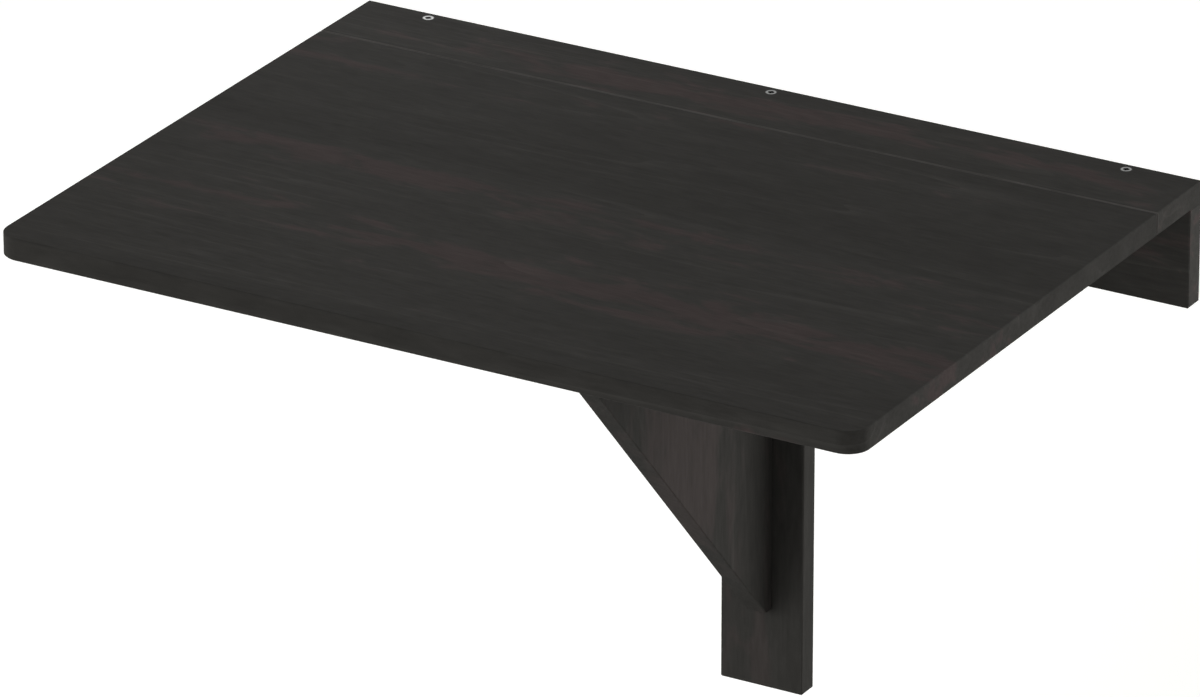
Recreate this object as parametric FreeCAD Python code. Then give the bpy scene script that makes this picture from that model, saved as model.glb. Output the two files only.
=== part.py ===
import FreeCAD, Part
import os

from FreeCAD import Placement, Rotation, Vector

# A wall-mounted drop-leaf table, in millimetres. X runs along the wall, to the right for someone who faces
# it, and Z is up. The wall is the plane Y = 0 and the room is on the -Y side. The origin is midway between
# the wall board's two fixing holes, on the wall. A fixed shelf and the leaf make the top. The leaf is hinged
# to the shelf along the seam and rests on pads on a triangular bracket, which is hinged to an upright post
# and swings aside to the left.

# The table top
table_width = 800.0  # along the wall
table_depth = 590.0  # from the wall to the leaf's front edge
top_thickness = 20.0  # shelf and leaf
shelf_depth = 80.0  # the fixed strip, from the wall to the seam
seam_gap = 1.0  # between shelf and leaf
leaf_corner_radius = 20.0  # the two front corners, seen from above

# The boards on the wall
frame_thickness = 20.0  # wall board and post
wall_board_height = 88.0
post_width = 80.0
post_height = 440.0

# The bracket, a triangle with its tip and its foot cut off
bracket_thickness = 20.0
bracket_reach = 400.0  # from the wall to the tip
bracket_tip_height = 41.0
bracket_foot_depth = 10.0  # the foot, from the wall side to where the slope starts
bracket_foot_above_post_end = 75.0
bracket_corner_radius = 6.0  # top and bottom of the tip

edge_chamfer = 0.8  # on every edge of every board
rest_gap = 0.3  # between faces of two moving pieces that rest on each other
hinge_to_bracket_gap = 1.2  # the bracket's top edge passes this far under the leaf hinges

# The rubber pads on the bracket's top edge. They carry the leaf and clear its hinges when the bracket swings
pad_radius = 6.0
inner_pad_from_wall = 175.0  # to the pad's middle
outer_pad_from_tip = 15.0  # from the bracket's tip to the pad's middle

# Butt hinges of pressed steel strip, all four of one size
hinge_length = 64.0
hinge_plate_width = 25.0  # from the pin's axis to the plate's edge
plate_thickness = 1.6
plate_hole_radius = 3.3  # at the face, from where a 90 degree countersink goes right through
plate_hole_from_end = 12.0
plate_hole_from_edge = 9.0
knuckle_count = 3
knuckle_radius = 3.0
knuckle_setback = 0.3  # from the rolled knuckle to the wood
knuckle_gap = 0.3  # between neighbouring knuckles, along the pin
knuckle_to_plate_gap = 0.5  # from a knuckle to the other plate's edge
pin_radius = 1.5
pin_clearance = 0.05
leaf_hinge_from_end = 160.0  # from the table's end to the hinge's middle
upper_bracket_hinge_below_board = 52.0  # the hinge's middle, below the wall board
lower_bracket_hinge_above_foot = 71.5  # the hinge's middle, above the bracket's foot

# The blunt furniture screws that hold the shelf on the wall board, with flush 90 degree countersunk heads
screw_head_radius = 5.0
screw_radius = 3.4
screw_length = 50.0
screw_spacing = 335.0
screw_places = (-1, 0, 1)  # in spacings from the middle
recess_length = 6.0  # of the cross that a screwdriver fits
recess_width = 1.6
recess_depth = 2.2
wood_clearance = 0.05  # round screws and dowels in their holes

# The dowels that join the post and the wall board end to end
dowel_radius = 4.0
dowel_length = 40.0
dowel_end_gap = 0.5  # the room for glue past each end
dowel_offset = 20.0  # from the middle, on each side

# Fixing holes for countersunk wall screws
wall_hole_radius = 2.75
wall_hole_sink_radius = 5.5
wall_board_hole_spacing = 480.0
post_hole_spacing = 130.0  # the bracket hides the post's two holes

# Heights that follow from these sizes
wall_board_top = wall_board_height / 2
wall_board_bottom = -wall_board_height / 2
top_surface = wall_board_top + top_thickness
post_bottom = wall_board_bottom - post_height

# The hinge axes: the leaf's runs along X under the seam, and the bracket's is upright in the corner that its
# left face makes with the post
pin_height = knuckle_radius + knuckle_setback  # from the pin's axis to the wood on either side
leaf_axis_y = -shelf_depth - seam_gap / 2
leaf_axis_z = wall_board_top - pin_height
bracket_axis_x = -bracket_thickness / 2 - pin_height
bracket_axis_y = -frame_thickness - pin_height

# The bracket's place under the leaf hinges and above the post's end
bracket_top = leaf_axis_z - knuckle_radius - hinge_to_bracket_gap
bracket_bottom = post_bottom + bracket_foot_above_post_end
bracket_back = -frame_thickness - rest_gap
upper_bracket_hinge_z = wall_board_bottom - upper_bracket_hinge_below_board
lower_bracket_hinge_z = bracket_bottom + lower_bracket_hinge_above_foot

origin = Vector(0, 0, 0)
along_x = Vector(1, 0, 0)
along_y = Vector(0, 1, 0)
up = Vector(0, 0, 1)


def box(x0, x1, y0, y1, z0, z1):
    return Part.makeBox(x1 - x0, y1 - y0, z1 - z0, Vector(x0, y0, z0))


def eased(board):
    """The board with a small chamfer on all its edges."""
    return board.makeChamfer(edge_chamfer, board.Edges)


def extruded(outline, way):
    """The solid that a closed outline of points makes when it is moved along a vector."""
    return Part.Face(Part.makePolygon(outline + outline[:1])).extrude(way)


def turned(outline):
    """The solid that a closed outline of (radius, height) points makes about Z."""
    wire = Part.makePolygon([Vector(r, 0, z) for r, z in outline + outline[:1]])
    return Part.Face(wire).revolve(origin, up, 360)


def placed(solid, place):
    solid.Placement = place * solid.Placement
    return solid


def minus(solid, tools):
    return solid.cut(Part.makeCompound(tools))


# ---- Shelf screws and post dowels, each with the hole that it sits in ----


def screw_outline(clearance):
    """A screw's half section, with the head's face at height 0."""
    head = screw_head_radius + clearance
    shank = screw_radius + clearance
    end = -screw_length - clearance
    return [(0, 0), (head, 0), (shank, shank - head), (shank, end), (0, end)]


def cross_recess():
    """Two crossed slots that slope to their deepest place on the screw's axis."""
    slots = []
    for angle in (0, 90):
        outline = [
            Vector(-recess_length / 2, -recess_width / 2, 0),
            Vector(recess_length / 2, -recess_width / 2, 0),
            Vector(0, -recess_width / 2, -recess_depth),
        ]
        slot = extruded(outline, along_y * recess_width)
        slot.rotate(origin, up, angle)
        slots.append(slot)
    return slots


def shelf_screw(x):
    """A screw through the shelf into the wall board, and its hole."""
    place = Placement(Vector(x, -frame_thickness / 2, top_surface), Rotation())
    screw = minus(turned(screw_outline(0)), cross_recess())
    return placed(screw, place), placed(turned(screw_outline(wood_clearance)), place)


def post_dowel(x):
    """An upright dowel across the joint of post and wall board, and its hole."""
    hole_length = dowel_length + 2 * dowel_end_gap
    foot = Vector(x, -frame_thickness / 2, wall_board_bottom - dowel_length / 2)
    dowel = Part.makeCylinder(dowel_radius, dowel_length, foot, up)
    hole = Part.makeCylinder(dowel_radius + wood_clearance, hole_length, foot - up * dowel_end_gap, up)
    return dowel, hole


# ---- Butt hinges ----
# A hinge is made with its pin along Z. The fixed plate lies along +X with its wood side towards +Y.


def knuckle(number):
    """A rolled knuckle, numbered from the hinge's lower end, with the strap that joins it to its plate."""
    pitch = hinge_length / knuckle_count
    low = -hinge_length / 2 + number * pitch
    high = low + pitch
    if number > 0:
        low += knuckle_gap / 2
    if number < knuckle_count - 1:
        high -= knuckle_gap / 2
    roll = Part.makeCylinder(knuckle_radius, high - low, Vector(0, 0, low), up)
    plate_edge = knuckle_radius + knuckle_to_plate_gap
    strap = box(0, plate_edge, pin_height - plate_thickness, pin_height, low, high)
    return roll.fuse(strap)


def plate(numbers):
    """One plate with some of the knuckles and its two screw holes."""
    front = pin_height - plate_thickness
    plate_edge = knuckle_radius + knuckle_to_plate_gap
    end = hinge_length / 2
    sheet = box(plate_edge, hinge_plate_width, front, pin_height, -end, end)
    sheet = sheet.fuse([knuckle(number) for number in numbers]).removeSplitter()
    bore = Part.makeCylinder(pin_radius + pin_clearance, hinge_length, Vector(0, 0, -end), up)
    holes = [
        Part.makeCone(
            plate_hole_radius,
            plate_hole_radius - plate_thickness,
            plate_thickness,
            Vector(hinge_plate_width - plate_hole_from_edge, front, side * (end - plate_hole_from_end)),
            along_y,
        )
        for side in (-1, 1)
    ]
    return minus(sheet, [bore] + holes)


def hinge(opening, place):
    """One butt hinge, opened to an angle: its fixed plate, its moving plate and its pin."""
    fixed = plate(range(0, knuckle_count, 2))
    moving = plate(range(1, knuckle_count, 2)).mirror(origin, along_y)
    moving.rotate(origin, up, -opening)
    pin = Part.makeCylinder(pin_radius, hinge_length, Vector(0, 0, -hinge_length / 2), up)
    return [placed(solid, place) for solid in (fixed, moving, pin)]


def leaf_hinge(side):
    """A hinge under the seam, opened flat. Its fixed plate is under the shelf."""
    x = side * (table_width / 2 - leaf_hinge_from_end)
    pin_along_x = Rotation(along_y, up, along_x, "XYZ")
    return hinge(180, Placement(Vector(x, leaf_axis_y, leaf_axis_z), pin_along_x))


def bracket_hinge(z):
    """A hinge in the corner of post and bracket, opened square. Its fixed plate is on the post."""
    plate_to_left = Rotation(-along_x, along_y, -up, "XYZ")
    return hinge(90, Placement(Vector(bracket_axis_x, bracket_axis_y, z), plate_to_left))


# ---- Boards ----


def wall_hole(x, z):
    """A fixing hole for a countersunk wall screw, from the board's front to the wall."""
    sink = wall_hole_sink_radius - wall_hole_radius
    outline = [
        (0, 0),
        (wall_hole_sink_radius, 0),
        (wall_hole_radius, sink),
        (wall_hole_radius, frame_thickness),
        (0, frame_thickness),
    ]
    return placed(turned(outline), Placement(Vector(x, -frame_thickness, z), Rotation(up, along_y)))


def wall_shelf(screw_holes):
    """The fixed strip of the top, screwed down on the wall board."""
    end = table_width / 2
    board = eased(box(-end, end, -shelf_depth, 0, wall_board_top, top_surface))
    return minus(board, screw_holes)


def wall_board(screw_holes, dowel_holes):
    end = table_width / 2
    board = eased(box(-end, end, -frame_thickness, 0, wall_board_bottom, wall_board_top))
    wall_holes = [wall_hole(side * wall_board_hole_spacing / 2, 0) for side in (-1, 1)]
    return minus(board, screw_holes + dowel_holes + wall_holes)


def post(dowel_holes):
    side = post_width / 2
    board = eased(box(-side, side, -frame_thickness, 0, post_bottom, wall_board_bottom))
    middle = (upper_bracket_hinge_z + lower_bracket_hinge_z) / 2
    wall_holes = [wall_hole(0, middle + way * post_hole_spacing / 2) for way in (-1, 1)]
    return minus(board, dowel_holes + wall_holes)


def drop_leaf():
    """The leaf, with its two front corners rounded."""
    end = table_width / 2
    back = -shelf_depth - seam_gap
    board = box(-end, end, -table_depth, back, wall_board_top, top_surface)
    corners = [
        edge for edge in board.Edges
        if edge.BoundBox.ZLength > top_thickness / 2 and edge.CenterOfMass.y < -table_depth / 2
    ]
    return eased(board.makeFillet(leaf_corner_radius, corners))


def support_bracket():
    """The triangular bracket, with the two corners of its tip rounded."""
    side = bracket_thickness / 2
    tip_bottom = bracket_top - bracket_tip_height
    outline = [
        Vector(-side, bracket_back, bracket_bottom),
        Vector(-side, bracket_back, bracket_top),
        Vector(-side, -bracket_reach, bracket_top),
        Vector(-side, -bracket_reach, tip_bottom),
        Vector(-side, bracket_back - bracket_foot_depth, bracket_bottom),
    ]
    board = extruded(outline, along_x * bracket_thickness)
    tip_corners = [
        edge for edge in board.Edges
        if edge.BoundBox.XLength > side and edge.CenterOfMass.y < -bracket_reach + bracket_corner_radius
    ]
    return eased(board.makeFillet(bracket_corner_radius, tip_corners))


def rest_pad(y):
    """A round rubber pad on the bracket's top edge."""
    height = wall_board_top - bracket_top - rest_gap
    return Part.makeCylinder(pad_radius, height, Vector(0, y, bracket_top), up)


# ---- The whole table ----


def nodes():
    screws, screw_holes = zip(*[shelf_screw(place * screw_spacing) for place in screw_places])
    dowels, dowel_holes = zip(*[post_dowel(side * dowel_offset) for side in (-1, 1)])
    made = {
        "wall_shelf": wall_shelf(list(screw_holes)),
        "wall_board": wall_board(list(screw_holes), list(dowel_holes)),
        "post": post(list(dowel_holes)),
        "drop_leaf": drop_leaf(),
        "support_bracket": support_bracket(),
        "inner_rest_pad": rest_pad(-inner_pad_from_wall),
        "outer_rest_pad": rest_pad(outer_pad_from_tip - bracket_reach),
        "shelf_screws": Part.makeCompound(screws),
        "post_dowels": Part.makeCompound(dowels),
    }
    for name, side in (("left_leaf_hinge", -1), ("right_leaf_hinge", 1)):
        fixed, moving, pin = leaf_hinge(side)
        made[name + "_shelf_plate"] = fixed
        made[name + "_leaf_plate"] = moving
        made[name + "_pin"] = pin
    for name, z in (
        ("upper_bracket_hinge", upper_bracket_hinge_z),
        ("lower_bracket_hinge", lower_bracket_hinge_z),
    ):
        fixed, moving, pin = bracket_hinge(z)
        made[name + "_post_plate"] = fixed
        made[name + "_bracket_plate"] = moving
        made[name + "_pin"] = pin
    return made


os.makedirs("parts", exist_ok=True)
for name, shape in nodes().items():
    print(name, len(shape.Solids), "valid" if shape.isValid() else "NOT VALID", round(shape.Volume))
    shape.exportStep("parts/" + name + ".step")
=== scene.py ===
import math

import bmesh
import bpy
from mathutils import Matrix, Vector


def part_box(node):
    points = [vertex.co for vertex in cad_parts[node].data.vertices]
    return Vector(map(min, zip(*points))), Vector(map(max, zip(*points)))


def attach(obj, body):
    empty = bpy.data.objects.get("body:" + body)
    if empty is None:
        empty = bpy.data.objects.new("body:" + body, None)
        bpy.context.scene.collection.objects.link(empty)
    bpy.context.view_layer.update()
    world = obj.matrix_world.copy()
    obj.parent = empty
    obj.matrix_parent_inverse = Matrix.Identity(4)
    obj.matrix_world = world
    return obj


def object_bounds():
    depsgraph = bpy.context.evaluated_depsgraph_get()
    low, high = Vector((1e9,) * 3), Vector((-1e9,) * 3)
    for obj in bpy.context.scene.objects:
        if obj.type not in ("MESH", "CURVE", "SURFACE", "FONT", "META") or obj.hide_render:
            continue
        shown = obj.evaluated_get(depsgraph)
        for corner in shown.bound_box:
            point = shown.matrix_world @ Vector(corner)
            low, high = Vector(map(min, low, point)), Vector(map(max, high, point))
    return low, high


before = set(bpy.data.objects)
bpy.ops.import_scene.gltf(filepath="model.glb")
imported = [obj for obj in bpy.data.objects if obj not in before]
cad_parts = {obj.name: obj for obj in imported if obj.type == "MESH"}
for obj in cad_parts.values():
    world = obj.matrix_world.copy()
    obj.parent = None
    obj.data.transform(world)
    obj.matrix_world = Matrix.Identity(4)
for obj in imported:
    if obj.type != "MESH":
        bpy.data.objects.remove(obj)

cad_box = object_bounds()

# ---- Floor, light and camera ----
# The table hangs at dining height over a pale, matt floor. Soft lamps as wide as windows stand behind it to
# the right and before it to the left, a large softbox hangs over its left front corner, and a small one
# behind its left back corner. A long lens looks down on it from the right.

table_height = 0.74  # from the floor to the top
floor_width = 40.0
floor_tone = "#F4F4F2"
floor_glow = 0.40  # what the lens sees more than the lamps give, so the floor is white and keeps its shadow
room_light = 0.20  # of the walls and ceiling, as a share of the white that the lens and polished steel see
window_spread = math.radians(60)
lens_place = Vector((3.8709, -7.0157, 3.3467))
lens_turn = math.radians(29.950)  # to the right of straight on
lens_tilt = math.radians(23.729)  # down
lens_length = 309.07
sensor_width = 36.0
view_reach = 100


def linear(colour):
    """The linear RGBA of an sRGB hex colour."""
    channels = [int(colour[i:i + 2], 16) / 255 for i in (1, 3, 5)]
    return [c / 12.92 if c <= 0.04045 else ((c + 0.055) / 1.055) ** 2.4 for c in channels] + [1]


def add(tree, kind, inputs=None, **settings):
    """Adds a node with its settings. An input is linked where its value is a socket, and set otherwise.

    Inputs go by name, or by number where a node has several of one name. A Mix takes its share at 0 and what
    it mixes at 2 and 3. A Mix of colours takes them at 6 and 7, and gives its result at output 2.
    """
    node = tree.nodes.new("ShaderNode" + kind)
    for name, value in settings.items():
        setattr(node, name, value)
    for name, value in (inputs or {}).items():
        if isinstance(value, bpy.types.NodeSocket):
            tree.links.new(value, node.inputs[name])
        else:
            node.inputs[name].default_value = value
    return node


def new_material(name):
    """An empty node material, and the tree that it is drawn in."""
    material = bpy.data.materials.new(name)
    material.use_nodes = True
    material.node_tree.nodes.clear()
    return material, material.node_tree


def object_from(mesh, name, material):
    """A bmesh as a finished object, with its place in its mesh."""
    data = bpy.data.meshes.new(name)
    mesh.to_mesh(data)
    mesh.free()
    data.materials.append(material)
    made = bpy.data.objects.new(name, data)
    bpy.context.scene.collection.objects.link(made)
    return made


def seen_directly(tree):
    """1 for what the lens, a polished surface or glass sees, and 0 for the light on a matt surface."""
    path = add(tree, "LightPath")
    mirror = add(
        tree, "Math",
        {0: path.outputs["Is Camera Ray"], 1: path.outputs["Is Glossy Ray"]},
        operation="MAXIMUM",
    )
    return add(
        tree, "Math",
        {0: mirror.outputs[0], 1: path.outputs["Is Transmission Ray"]},
        operation="MAXIMUM",
    )


floor_material, tree = new_material("matt white painted floor")
paint = add(tree, "BsdfDiffuse", {"Color": linear(floor_tone)})
glow = add(tree, "Emission", {"Color": linear(floor_tone), "Strength": floor_glow})
lifted = add(tree, "AddShader", {0: paint.outputs[0], 1: glow.outputs[0]})
seen = seen_directly(tree)
floor_shader = add(tree, "MixShader", {0: seen.outputs[0], 1: paint.outputs[0], 2: lifted.outputs[0]})
add(tree, "OutputMaterial", {"Surface": floor_shader.outputs[0]})
mesh = bmesh.new()
bmesh.ops.create_grid(mesh, x_segments=1, y_segments=1, size=floor_width / 2)
bmesh.ops.translate(mesh, verts=mesh.verts, vec=(0, 0, cad_box[1].z - table_height))
object_from(mesh, "floor", floor_material)

world = bpy.data.worlds.new("bright room")
world.use_nodes = True
world.node_tree.nodes.clear()
bpy.context.scene.world = world
seen = seen_directly(world.node_tree)
strength = add(
    world.node_tree, "MapRange",
    {"Value": seen.outputs[0], "To Min": room_light, "To Max": 1.0},
)
room = add(world.node_tree, "Background", {"Color": (1, 1, 1, 1), "Strength": strength.outputs[0]})
add(world.node_tree, "OutputWorld", {"Surface": room.outputs[0]})


def soft_lamp(name, towards, power):
    """A wide lamp far off, in the direction of a vector from the table."""
    lamp = bpy.data.lights.new(name, "SUN")
    lamp.energy = power
    lamp.angle = window_spread
    made = bpy.data.objects.new(name, lamp)
    made.rotation_euler = Vector(towards).to_track_quat("Z", "Y").to_euler()
    bpy.context.scene.collection.objects.link(made)


soft_lamp("window on the right", towards=(1.0, 1.0, 0.15), power=3.9)
soft_lamp("window behind", towards=(0.5, 1.0, 0.1), power=1.8)
soft_lamp("window on the left", towards=(-0.55, -1.0, 0.3), power=2.3)


def softbox(name, place, target, power, size):
    """A square softbox at a place, turned to a target."""
    lamp = bpy.data.lights.new(name, "AREA")
    lamp.energy = power
    lamp.size = size
    made = bpy.data.objects.new(name, lamp)
    made.location = place
    made.rotation_euler = (Vector(place) - Vector(target)).to_track_quat("Z", "Y").to_euler()
    bpy.context.scene.collection.objects.link(made)


softbox("softbox in front", place=(-1.3, -1.5, 0.7), target=(0, -0.3, 0.05), power=9.0, size=1.0)
softbox("softbox behind", place=(-0.74, 0.56, 0.28), target=(-0.4, 0, 0.06), power=0.65, size=0.3)

camera = bpy.data.cameras.new("long lens")
camera.lens = lens_length
camera.sensor_width = sensor_width
camera.clip_end = view_reach
camera_object = bpy.data.objects.new("long lens", camera)
camera_object.location = lens_place
camera_object.rotation_euler = (math.pi / 2 - lens_tilt, 0, lens_turn)
bpy.context.scene.collection.objects.link(camera_object)
bpy.context.scene.camera = camera_object
bpy.context.scene.view_settings.view_transform = "Standard"

# ---- Boards ----
# The shelf, the leaf, the two boards on the wall and the bracket are 20 mm pine, each from another part of
# the tree. They are sanded, stained almost black and sealed with a matt lacquer. The edges along the joint of
# shelf and leaf carry a painted highlight.

stain = "#32312F"
stain_in_hard_grain = "#2F2E2C"
stain_in_soft_grain = "#353432"
thin_stain = "#3C3534"
blotch_share = 0.4  # of the blotches in where the stain lies thin. The rest follows the growth bands.
rings = 14  # from the hardest to the softest of the wood
ring_glint = 0.24  # how much paler than the board the edge of a ring is
# A painted highlight along the edges of the joint of shelf and leaf, and its width.
joint_edge_highlight = "#4D4B49"
joint_highlight_width = 0.0013  # to each side of the middle of the joint
lacquer_sheen = 0.02  # next to none, because a matt lacquer scatters it
grain_depth = 0.00015

# The figure of the wood, as the length of a mark along the grain and its width across. Real fibres and pores
# are finer, and are drawn as coarse as they need to be to show.
band_size = (1.30, 0.080)
blotch_size = (0.070, 0.022)
fibre_size = (0.030, 0.0040)
pore_size = (0.012, 0.0010)
ring_size = (1.80, 0.080)
glinting_size = (0.60, 0.045)


def stained_pine(
    name, grain_turn, board_offset, thickness, tone=1.0, cut_tone=1.0, edge_wear_and_highlight=1.08, joint=None,
    thin_from=0.555, thin_to=0.60, thinness=0.9,
):
    """Dark stained pine under matt lacquer.

    grain_turn turns the board's own length to X, and board_offset picks another part of the tree. thickness
    is the axis that the board is thin along. The tones are shares: of the board, of its faces that are cut
    across the grain, and of its sanded edges, whose paler tone is partly thinner stain and partly a painted
    highlight. joint is where the edge lies, along Y, that gets a painted highlight along the joint of two
    boards. The stain gets thinner where the wood takes up between thin_from and thin_to of it, by the share
    thinness.
    """
    material, tree = new_material(name)
    place = add(tree, "TexCoord")
    along = add(
        tree, "Mapping",
        {"Vector": place.outputs["Object"], "Location": board_offset, "Rotation": grain_turn},
    )

    def figure(size, detail, roughness, distortion=0.0):
        """Noise drawn out along the grain, in marks of one length and width."""
        length, width = size
        stretched = add(
            tree, "Mapping",
            {"Vector": along.outputs[0], "Scale": (1 / length, 1 / width, 1 / width)},
        )
        return add(
            tree, "TexNoise",
            {
                "Vector": stretched.outputs[0], "Scale": 1.0, "Detail": detail, "Roughness": roughness,
                "Distortion": distortion,
            },
        ).outputs["Fac"]

    growth = figure(band_size, detail=3, roughness=0.5, distortion=0.4)
    blotches = figure(blotch_size, detail=5, roughness=0.62, distortion=0.6)
    fibres = figure(fibre_size, detail=4, roughness=0.6)
    pores = figure(pore_size, detail=2, roughness=0.5)
    ring_shape = figure(ring_size, detail=1, roughness=0.4, distortion=0.1)
    stretches = figure(glinting_size, detail=2, roughness=0.5)

    # The stain is brown, so it looks redder where it lies thin, in bands along the grain.
    bands = add(tree, "ValToRGB", {"Fac": growth})
    bands.color_ramp.elements[0].position = 0.35
    bands.color_ramp.elements[0].color = linear(stain_in_hard_grain)
    bands.color_ramp.elements[1].position = 0.66
    bands.color_ramp.elements[1].color = linear(stain_in_soft_grain)
    bands.color_ramp.elements.new(0.5).color = linear(stain)
    absorbed = add(tree, "Mix", {0: blotch_share, 2: growth, 3: blotches})
    thin = add(
        tree, "MapRange",
        {
            "Value": absorbed.outputs[0], "From Min": thin_from, "From Max": thin_to, "To Min": 0.0,
            "To Max": thinness,
        },
    )
    with_thin = add(
        tree, "Mix",
        {0: thin.outputs[0], 6: bands.outputs["Color"], 7: linear(thin_stain)},
        data_type="RGBA",
    )

    # Blotches and fibres take it up unevenly.
    mottled = add(
        tree, "MapRange",
        {"Value": blotches, "From Min": 0.3, "From Max": 0.7, "To Min": 0.89, "To Max": 1.09},
    )
    lined = add(
        tree, "MapRange",
        {"Value": fibres, "From Min": 0.3, "From Max": 0.7, "To Min": 0.87, "To Max": 1.12},
    )
    figured = add(tree, "Math", {0: mottled.outputs[0], 1: lined.outputs[0]}, operation="MULTIPLY")

    # The hard edge of a growth ring shows as a pale line, in some stretches of the board.
    counted = add(tree, "Math", {0: ring_shape, 1: rings}, operation="MULTIPLY")
    within_ring = add(tree, "Math", {0: counted.outputs[0]}, operation="FRACT")
    ring_edge = add(
        tree, "MapRange",
        {"Value": within_ring.outputs[0], "From Min": 0.0, "From Max": 0.4, "To Min": 1.0, "To Max": 0.0},
    )
    sharp_edge = add(tree, "Math", {0: ring_edge.outputs[0], 1: 2.0}, operation="POWER")
    shown = add(
        tree, "MapRange",
        {"Value": stretches, "From Min": 0.45, "From Max": 0.62, "To Min": 0.0, "To Max": ring_glint},
    )
    glint = add(
        tree, "Math",
        {0: sharp_edge.outputs[0], 1: shown.outputs[0], 2: tone},
        operation="MULTIPLY_ADD",
    )
    ringed = add(tree, "Math", {0: figured.outputs[0], 1: glint.outputs[0]}, operation="MULTIPLY")

    # Faces that are cut across the grain take up another share of the stain.
    facing = add(
        tree, "Mapping",
        {"Vector": place.outputs["Normal"], "Rotation": grain_turn},
        vector_type="VECTOR",
    )
    along_grain = add(tree, "SeparateXYZ", {0: facing.outputs[0]})
    cut_across = add(tree, "Math", {0: along_grain.outputs["X"]}, operation="ABSOLUTE")
    drunk = add(
        tree, "MapRange",
        {"Value": cut_across.outputs[0], "From Min": 0.3, "From Max": 0.6, "To Min": 1.0, "To Max": cut_tone},
    )
    cut = add(tree, "Math", {0: ringed.outputs[0], 1: drunk.outputs[0]}, operation="MULTIPLY")

    # So do the sanded edges, where the stain lies thinner, and their paler tone is partly a painted highlight
    # that lifts the shade on the chamfers. The product is 0.25 where the surface slopes by half, and 0 on
    # faces and sides.
    square_on = add(tree, "SeparateXYZ", {0: place.outputs["Normal"]})
    slope = add(tree, "Math", {0: square_on.outputs[thickness], 1: 2.0}, operation="POWER")
    upright = add(tree, "Math", {0: 1.0, 1: slope.outputs[0]}, operation="SUBTRACT")
    on_edge = add(tree, "Math", {0: slope.outputs[0], 1: upright.outputs[0]}, operation="MULTIPLY")
    sanded_and_highlit = add(
        tree, "MapRange",
        {"Value": on_edge.outputs[0], "From Min": 0.0, "From Max": 0.25, "To Min": 1.0, "To Max": edge_wear_and_highlight},
    )
    light = add(tree, "Math", {0: cut.outputs[0], 1: sanded_and_highlit.outputs[0]}, operation="MULTIPLY")
    with_grain = add(
        tree, "VectorMath",
        {0: with_thin.outputs[2], "Scale": light.outputs[0]},
        operation="SCALE",
    )
    colour = with_grain.outputs[0]

    # The edges along the joint get a painted highlight, broken here and there.
    if joint is not None:
        spot = add(tree, "SeparateXYZ", {0: place.outputs["Object"]})
        away = add(tree, "Math", {0: spot.outputs["Y"], 1: joint}, operation="SUBTRACT")
        distance = add(tree, "Math", {0: away.outputs[0]}, operation="ABSOLUTE")
        near_joint = add(
            tree, "MapRange",
            {
                "Value": distance.outputs[0], "From Min": joint_highlight_width, "From Max": 1.5 * joint_highlight_width,
                "To Min": 1.0, "To Max": 0.0,
            },
        )
        here_and_there = add(
            tree, "MapRange",
            {"Value": blotches, "From Min": 0.35, "From Max": 0.6, "To Min": 0.55, "To Max": 1.0},
        )
        joint_highlight = add(
            tree, "Math",
            {0: near_joint.outputs[0], 1: here_and_there.outputs[0]},
            operation="MULTIPLY",
        )
        colour = add(
            tree, "Mix",
            {0: joint_highlight.outputs[0], 6: colour, 7: linear(joint_edge_highlight)},
            data_type="RGBA",
        ).outputs[2]

    # The lacquer is thin enough for fibres and pores to be felt, and pores leave it duller.
    surface = add(tree, "Math", {0: pores, 1: fibres}, operation="ADD")
    grain_relief = add(
        tree, "Bump",
        {"Strength": 0.35, "Distance": grain_depth, "Height": surface.outputs[0]},
    )
    gloss = add(
        tree, "MapRange",
        {"Value": pores, "From Min": 0.3, "From Max": 0.7, "To Min": 0.62, "To Max": 0.74},
    )
    lacquer = add(
        tree, "BsdfPrincipled",
        {
            "Base Color": colour, "Roughness": gloss.outputs[0], "Normal": grain_relief.outputs[0],
            "Specular IOR Level": lacquer_sheen,
        },
    )
    add(tree, "OutputMaterial", {"Surface": lacquer.outputs[0]})
    return material


def dress(names, material):
    """Gives solids from the frame their finish."""
    for name in names:
        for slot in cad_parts[name].material_slots:
            slot.material = material


grain_along_wall = (0, 0, 0)
grain_upright = (0, math.pi / 2, 0)
seam = (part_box("wall_shelf")[0].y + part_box("drop_leaf")[1].y) / 2
shelf_pine = stained_pine(
    "stained pine, shelf", grain_along_wall, board_offset=(5.520, 1.692, 2.236), thickness="Z",
    tone=0.90, cut_tone=1.135, edge_wear_and_highlight=1.0, joint=seam,
)
leaf_pine = stained_pine(
    "stained pine, leaf", grain_along_wall, board_offset=(10.640, 1.260, 1.236), thickness="Z",
    tone=0.855, cut_tone=1.05, edge_wear_and_highlight=1.0, joint=seam,
)
# Its tone of 1.28, far paler than the other boards', is painted light that lifts the board out of the shade
# under the shelf.
board_pine = stained_pine(
    "stained pine, wall board", grain_along_wall, board_offset=(5.3, 1.7, 0.1), thickness="Y",
    tone=1.28, cut_tone=0.93,
)
post_pine = stained_pine(
    "stained pine, post", grain_upright, board_offset=(5.268, 3.300, 1.292), thickness="Y",
    tone=0.90, thinness=0.4,
)
bracket_pine = stained_pine(
    "stained pine, bracket", grain_upright, board_offset=(3.362, 4.243, 1.31), thickness="X",
    tone=0.94, cut_tone=0.92, edge_wear_and_highlight=1.2, thin_from=0.46, thin_to=0.56, thinness=0.52,
)
dress(["wall_shelf"], shelf_pine)
dress(["drop_leaf"], leaf_pine)
dress(["wall_board"], board_pine)
dress(["post"], post_pine)
dress(["support_bracket"], bracket_pine)

# ---- Shelf screws ----
# Three blunt steel furniture screws with flush countersunk heads join the shelf to the wall board. They are
# turned and zinc plated, so the heads are bright. Painted shade darkens each head's rim, its cross recess and
# around the recess.

zinc_on_screws = "#7E7F7D"
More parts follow.
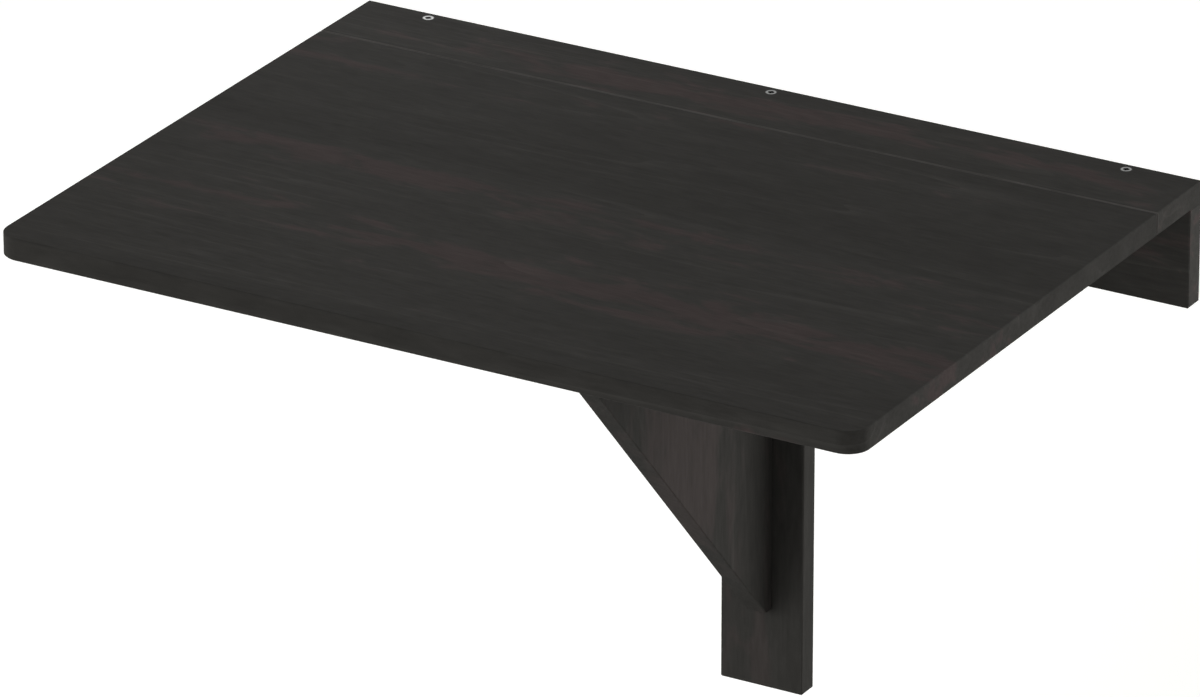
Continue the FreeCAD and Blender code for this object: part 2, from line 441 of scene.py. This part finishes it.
# The colour of the painted shade on the head rims and in and around the recesses.
zinc_in_painted_shade = "#0E0E0E"
rim_share = 0.1  # of the bright ring's colour that is left on the rim, under painted shade
recess_depth = 0.00012  # below the head's face, from where the recess is painted in shade
screw_head_radius = 0.0050
bright_inner_radius = 0.0026
bright_outer_radius = 0.0046
painted_shade_fade = 0.0004
plating_speckle = 0.0011  # across the crystals of the zinc, drawn as coarse as they need to be to show
speckle_depth = 0.00005


def turned_zinc(name, screws):
    """Zinc plated turned steel, bright in a ring on the heads of a row of screws, and darkened elsewhere with
    painted shade.
    """
    lowest, highest = screws
    spacing = (highest.x - lowest.x) / 2 - screw_head_radius
    material, tree = new_material(name)
    place = add(tree, "TexCoord")
    speckle = add(
        tree, "TexNoise",
        {"Vector": place.outputs["Object"], "Scale": 1 / plating_speckle, "Detail": 3.0},
    )
    spot = add(tree, "SeparateXYZ", {0: place.outputs["Object"]})
    from_axis = add(
        tree, "Math",
        {0: spot.outputs["X"], 1: spacing / 2, 2: -spacing / 2},
        operation="WRAP",
    )
    in_front = add(
        tree, "Math",
        {0: spot.outputs["Y"], 1: (lowest.y + highest.y) / 2},
        operation="SUBTRACT",
    )
    flat = add(tree, "CombineXYZ", {0: from_axis.outputs[0], 1: in_front.outputs[0]})
    radius = add(tree, "VectorMath", {0: flat.outputs[0]}, operation="LENGTH")
    outside_recess = add(
        tree, "MapRange",
        {
            "Value": radius.outputs["Value"], "From Min": bright_inner_radius,
            "From Max": bright_inner_radius + painted_shade_fade,
        },
    )
    inside_rim = add(
        tree, "MapRange",
        {
            "Value": radius.outputs["Value"], "From Min": bright_outer_radius - painted_shade_fade,
            "From Max": bright_outer_radius, "To Min": 1.0, "To Max": rim_share,
        },
    )
    ring = add(
        tree, "Math",
        {0: outside_recess.outputs[0], 1: inside_rim.outputs[0]},
        operation="MULTIPLY",
    )
    face = add(
        tree, "MapRange",
        {
            "Value": spot.outputs["Z"], "From Min": highest.z - recess_depth,
            "From Max": highest.z - recess_depth / 4,
        },
    )
    top = add(tree, "Math", {0: face.outputs[0], 1: ring.outputs[0]}, operation="MULTIPLY")
    colour = add(
        tree, "Mix",
        {0: top.outputs[0], 6: linear(zinc_in_painted_shade), 7: linear(zinc_on_screws)},
        data_type="RGBA",
    )
    gloss = add(
        tree, "MapRange",
        {"Value": speckle.outputs["Fac"], "From Min": 0.3, "From Max": 0.7, "To Min": 0.28, "To Max": 0.42},
    )
    relief = add(
        tree, "Bump",
        {"Strength": 0.2, "Distance": speckle_depth, "Height": speckle.outputs["Fac"]},
    )
    steel = add(
        tree, "BsdfPrincipled",
        {
            "Base Color": colour.outputs[2], "Metallic": 1.0, "Roughness": gloss.outputs[0],
            "Normal": relief.outputs[0],
        },
    )
    add(tree, "OutputMaterial", {"Surface": steel.outputs[0]})
    return material


dress(["shelf_screws"], turned_zinc("turned zinc plated steel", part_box("shelf_screws")))

# ---- Dowels ----
# Two smooth beech dowels are glued across the joint between the post and the wall board. They are turned
# along the grain, so beech's short brown flecks run lengthwise on them.

beech = "#C69C6D"
beech_flecks = "#A87C50"
fleck_length = 0.0083
fleck_width = 0.0011

beech_material, tree = new_material("turned beech")
place = add(tree, "TexCoord")
stretched = add(
    tree, "Mapping",
    {"Vector": place.outputs["Object"], "Scale": (1 / fleck_width, 1 / fleck_width, 1 / fleck_length)},
)
flecks = add(tree, "TexNoise", {"Vector": stretched.outputs[0], "Scale": 1.0, "Detail": 3.0})
colour = add(
    tree, "Mix",
    {0: flecks.outputs["Fac"], 6: linear(beech), 7: linear(beech_flecks)},
    data_type="RGBA",
)
relief = add(tree, "Bump", {"Strength": 0.2, "Distance": 0.0001, "Height": flecks.outputs["Fac"]})
wood = add(
    tree, "BsdfPrincipled",
    {"Base Color": colour.outputs[2], "Roughness": 0.6, "Normal": relief.outputs[0]},
)
add(tree, "OutputMaterial", {"Surface": wood.outputs[0]})
dress(["post_dowels"], beech_material)

# ---- Hinges ----
# Four butt hinges of pressed steel strip, two under the seam and two in the corner of post and bracket. The
# strip is rolled, so it has fine lines along the pin, and its zinc plating is a little cloudy.

zinc = "#9B9C9A"
cloudy_zinc = "#7F807E"
rolling_line_width = 0.0006  # of the lines that the mill's rolls leave, drawn as coarse as they need to be
rolling_line_length = 0.024
rolling_line_depth = 0.00005
cloud_size = 0.006  # of the dull patches in the plating


def rolled_zinc(name, line_scale):
    """Zinc plated steel strip. line_scale stretches the rolling lines along the pin."""
    material, tree = new_material(name)
    place = add(tree, "TexCoord")
    drawn = add(tree, "Mapping", {"Vector": place.outputs["Object"], "Scale": line_scale})
    lines = add(tree, "TexNoise", {"Vector": drawn.outputs[0], "Scale": 1.0, "Detail": 2.0})
    clouds = add(
        tree, "TexNoise",
        {"Vector": place.outputs["Object"], "Scale": 1 / cloud_size, "Detail": 4.0},
    )
    colour = add(
        tree, "Mix",
        {0: clouds.outputs["Fac"], 6: linear(zinc), 7: linear(cloudy_zinc)},
        data_type="RGBA",
    )
    gloss = add(
        tree, "MapRange",
        {"Value": clouds.outputs["Fac"], "From Min": 0.3, "From Max": 0.7, "To Min": 0.32, "To Max": 0.5},
    )
    relief = add(
        tree, "Bump",
        {"Strength": 0.25, "Distance": rolling_line_depth, "Height": lines.outputs["Fac"]},
    )
    steel = add(
        tree, "BsdfPrincipled",
        {
            "Base Color": colour.outputs[2], "Metallic": 1.0, "Roughness": gloss.outputs[0],
            "Normal": relief.outputs[0],
        },
    )
    add(tree, "OutputMaterial", {"Surface": steel.outputs[0]})
    return material


across = 1 / rolling_line_width
along = 1 / rolling_line_length
leaf_hinge_steel = rolled_zinc("rolled zinc plated strip, lying", (along, across, across))
bracket_hinge_steel = rolled_zinc("rolled zinc plated strip, upright", (across, across, along))
for side in ("left", "right"):
    hinge = side + "_leaf_hinge_"
    dress([hinge + "shelf_plate", hinge + "leaf_plate", hinge + "pin"], leaf_hinge_steel)
for level in ("upper", "lower"):
    hinge = level + "_bracket_hinge_"
    dress([hinge + "post_plate", hinge + "bracket_plate", hinge + "pin"], bracket_hinge_steel)

# ---- Hinge screws ----
# Sixteen small countersunk wood screws hold the hinge plates, two in each. They are zinc plated steel with a
# slightly uneven shine, and each head lies flush in its plate with a cross recess for the screwdriver.

hinge_screw_head_radius = 0.00320
hinge_screw_foot_radius = 0.00170
hinge_screw_height = 0.00150
hinge_screw_recess_length = 0.0040
hinge_screw_recess_width = 0.0008
hinge_screw_recess_depth = 0.0010
recess_taper = 0.45  # of the recess's length that is left at its bottom
hole_from_plate_end = 0.0120
hole_from_plate_edge = 0.0090
plate_thickness = 0.0016
screw_faces = 32
hair = 0.000001  # points that are closer than this are one point


def add_cross_head(mesh, place):
    """A countersunk head, its face at height 0 before it is placed, with the cross pressed into it."""
    head = bmesh.new()
    bmesh.ops.create_cone(
        head, cap_ends=True, segments=screw_faces, radius1=hinge_screw_foot_radius,
        radius2=hinge_screw_head_radius, depth=hinge_screw_height,
    )
    bmesh.ops.translate(head, verts=head.verts, vec=(0, 0, -hinge_screw_height / 2))
    half_length = hinge_screw_recess_length / 2
    half_width = hinge_screw_recess_width / 2
    for direction in (Vector((1, 0, 0)), Vector((0, 1, 0))):
        for distance in (-half_length, -half_width, half_width, half_length):
            bmesh.ops.bisect_plane(
                head, geom=head.verts[:] + head.edges[:] + head.faces[:], plane_co=direction * distance,
                plane_no=direction,
            )
    cross = []
    for face in head.faces:
        middle = face.calc_center_median()
        near, far = sorted((abs(middle.x), abs(middle.y)))
        if middle.z > -hair and near < half_width and far < half_length:
            cross.append(face)
    pressed = bmesh.ops.extrude_face_region(head, geom=cross)
    bottom = [v for v in pressed["geom"] if isinstance(v, bmesh.types.BMVert)]
    bmesh.ops.scale(head, verts=bottom, vec=(recess_taper, recess_taper, 1))
    bmesh.ops.translate(head, verts=bottom, vec=(0, 0, -hinge_screw_recess_depth))
    bmesh.ops.delete(head, geom=[f for f in cross if f.is_valid], context="FACES")
    bmesh.ops.remove_doubles(head, verts=head.verts, dist=hair)
    bmesh.ops.recalc_face_normals(head, faces=head.faces)
    bmesh.ops.transform(head, matrix=place, verts=head.verts)
    made = bpy.data.meshes.new("one screw")
    head.to_mesh(made)
    head.free()
    mesh.from_mesh(made)
    bpy.data.meshes.remove(made)


def furthest(box, way):
    """How far a box reaches along one of the axes."""
    return max(box[0].dot(way), box[1].dot(way))


def hinge_screws(name, body, plates, pin_way, edge_way, room_way):
    """The screws of some plates: each plate's pin, its outer edge and the room lie in these directions."""
    mesh = bmesh.new()
    for plate in plates:
        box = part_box(plate)
        face = -furthest(box, -room_way) + plate_thickness
        row = furthest(box, edge_way) - hole_from_plate_edge
        for end in (-1, 1):
            hole = end * (furthest(box, pin_way * end) - hole_from_plate_end)
            spot = room_way * face + edge_way * row + pin_way * hole
            turn = Matrix((edge_way, room_way.cross(edge_way), room_way)).transposed().to_4x4()
            add_cross_head(mesh, Matrix.Translation(spot) @ turn)
    screws = object_from(mesh, name, hinge_screw_steel)
    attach(screws, body)


hinge_screw_steel, tree = new_material("zinc plated wood screws")
place = add(tree, "TexCoord")
speckle = add(
    tree, "TexNoise",
    {"Vector": place.outputs["Object"], "Scale": 1 / plating_speckle, "Detail": 3.0},
)
colour = add(
    tree, "Mix",
    {0: speckle.outputs["Fac"], 6: linear(zinc_on_screws), 7: linear(zinc)},
    data_type="RGBA",
)
gloss = add(
    tree, "MapRange",
    {"Value": speckle.outputs["Fac"], "From Min": 0.3, "From Max": 0.7, "To Min": 0.26, "To Max": 0.40},
)
steel = add(
    tree, "BsdfPrincipled",
    {"Base Color": colour.outputs[2], "Metallic": 1.0, "Roughness": gloss.outputs[0]},
)
add(tree, "OutputMaterial", {"Surface": steel.outputs[0]})

right = Vector((1, 0, 0))
back = Vector((0, 1, 0))
up = Vector((0, 0, 1))
shelf_plates = ["left_leaf_hinge_shelf_plate", "right_leaf_hinge_shelf_plate"]
leaf_plates = ["left_leaf_hinge_leaf_plate", "right_leaf_hinge_leaf_plate"]
post_plates = ["upper_bracket_hinge_post_plate", "lower_bracket_hinge_post_plate"]
bracket_plates = ["upper_bracket_hinge_bracket_plate", "lower_bracket_hinge_bracket_plate"]
hinge_screws("shelf_plate_screws", "wall_frame", shelf_plates, right, back, -up)
hinge_screws("leaf_plate_screws", "leaf", leaf_plates, right, -back, -up)
hinge_screws("post_plate_screws", "wall_frame", post_plates, up, -right, -back)
hinge_screws("bracket_plate_screws", "bracket", bracket_plates, up, -back, -right)

# ---- Rest pads ----
# Two round bumpers of moulded black rubber are stuck on the bracket's top edge and carry the leaf. Rubber is
# dull all over, with a fine pale bloom that comes out of it as it ages.

rubber = "#1D1D1C"
dusty_rubber = "#2B2B2A"
bloom_size = 0.0014  # of the specks of bloom

rubber_material, tree = new_material("moulded black rubber")
place = add(tree, "TexCoord")
bloom = add(tree, "TexNoise", {"Vector": place.outputs["Object"], "Scale": 1 / bloom_size, "Detail": 4.0})
colour = add(
    tree, "Mix",
    {0: bloom.outputs["Fac"], 6: linear(rubber), 7: linear(dusty_rubber)},
    data_type="RGBA",
)
relief = add(tree, "Bump", {"Strength": 0.3, "Distance": 0.0001, "Height": bloom.outputs["Fac"]})
skin = add(
    tree, "BsdfPrincipled",
    {"Base Color": colour.outputs[2], "Roughness": 0.85, "Normal": relief.outputs[0]},
)
add(tree, "OutputMaterial", {"Surface": skin.outputs[0]})
dress(["inner_rest_pad", "outer_rest_pad"], rubber_material)
